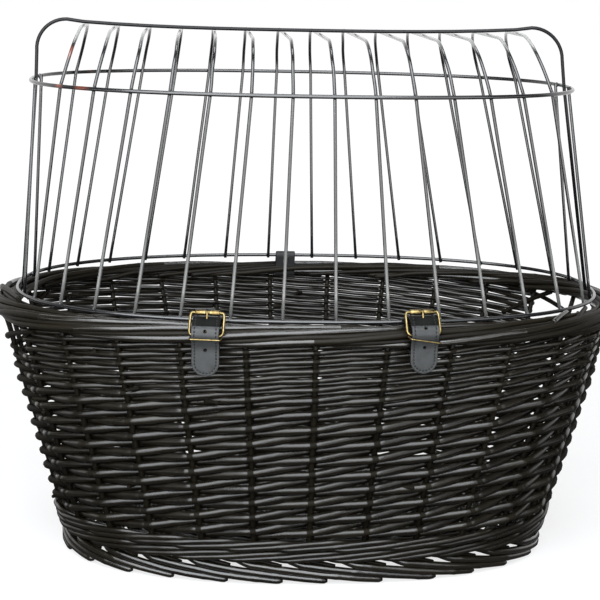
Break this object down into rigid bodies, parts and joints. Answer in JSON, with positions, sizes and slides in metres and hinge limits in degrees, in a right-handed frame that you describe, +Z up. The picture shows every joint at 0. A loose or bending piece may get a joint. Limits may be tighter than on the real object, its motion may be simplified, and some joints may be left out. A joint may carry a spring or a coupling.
{
  "type": "dog bicycle basket",
  "caption": "Oval woven willow basket with open grips and a domed wire cage that hinges at the back and is held shut in front by buckled leather straps.",
  "frame": {"origin": "middle of the part's plan box, on the surface it stands on", "axes": "+X to the right along the basket, +Y to the hinge at the back, +Z up"},
  "size_m": [0.5766, 0.3674, 0.4858],
  "materials": {
    "willow": "black lacquered willow rods with a satin gloss",
    "wire": "satin black powder-coated steel wire",
    "leather": "smooth black leather with sewn edges",
    "brass": "polished brass wire"
  },
  "bodies": {
    "basket": {"foot_border": "willow", "upsett_wale": "willow", "base_weave": "willow", "side_weave": "willow", "rim_border_with_stakes": "willow", "strap_left_chape": "leather", "buckle_left_frame": "brass", "strap_right_chape": "leather", "buckle_right_frame": "brass", "hinge_strap": "leather"},
    "lid": {"cage_lower_ring": "wire", "cage_upper_ring": "wire", "cage_hoop_01": "wire", "cage_hoop_02": "wire", "cage_hoop_03": "wire", "cage_hoop_04": "wire", "cage_hoop_05": "wire", "cage_hoop_06": "wire", "cage_hoop_07": "wire", "cage_hoop_08": "wire", "cage_hoop_09": "wire", "cage_hoop_10": "wire", "cage_hoop_11": "wire", "cage_hoop_12": "wire", "cage_hoop_13": "wire", "cage_hoop_14": "wire", "cage_ridge_wire": "wire", "cage_strut_left_front": "wire", "cage_strut_left_back": "wire", "cage_strut_right_front": "wire", "cage_strut_right_back": "wire", "strap_left_tail": "leather", "strap_right_tail": "leather"},
    "buckle_left_roller": {"buckle_left_roller": "brass"},
    "buckle_left_tongue": {"buckle_left_tongue": "brass"},
    "buckle_left_keeper": {"buckle_left_keeper": "brass"},
    "buckle_right_roller": {"buckle_right_roller": "brass"},
    "buckle_right_tongue": {"buckle_right_tongue": "brass"},
    "buckle_right_keeper": {"buckle_right_keeper": "brass"}
  },
  "joints": [
    {"name": "lid_swing", "type": "hinge", "parent": "basket", "child": "lid", "pos_m": [0, 0.15903, 0.245], "axis": [-1, 0, 0], "range_deg": [0, 110], "deforming": ["strap_left_tail", "strap_right_tail"]},
    {"name": "left_roller_turn", "type": "hinge", "parent": "basket", "child": "buckle_left_roller", "pos_m": [-0.09275, -0.16359, 0.25523], "axis": [0.9891, -0.1475, 0], "continuous": true},
    {"name": "left_tongue_lift", "type": "hinge", "parent": "basket", "child": "buckle_left_tongue", "pos_m": [-0.09423, -0.17348, 0.23791], "axis": [0.9891, -0.1475, 0], "range_deg": [0, 15]},
    {"name": "left_keeper_slide", "type": "slide", "parent": "basket", "child": "buckle_left_keeper", "axis": [0, 0, 1], "range_m": [-0.004, 0]},
    {"name": "right_roller_turn", "type": "hinge", "parent": "basket", "child": "buckle_right_roller", "pos_m": [0.08359, -0.16486, 0.25756], "axis": [0.9918, 0.1279, 0], "continuous": true},
    {"name": "right_tongue_lift", "type": "hinge", "parent": "basket", "child": "buckle_right_tongue", "pos_m": [0.08487, -0.17478, 0.24024], "axis": [0.9918, 0.1279, 0], "range_deg": [0, 15]},
    {"name": "right_keeper_slide", "type": "slide", "parent": "basket", "child": "buckle_right_keeper", "axis": [0, 0, 1], "range_m": [-0.004, 0]}
  ]
}
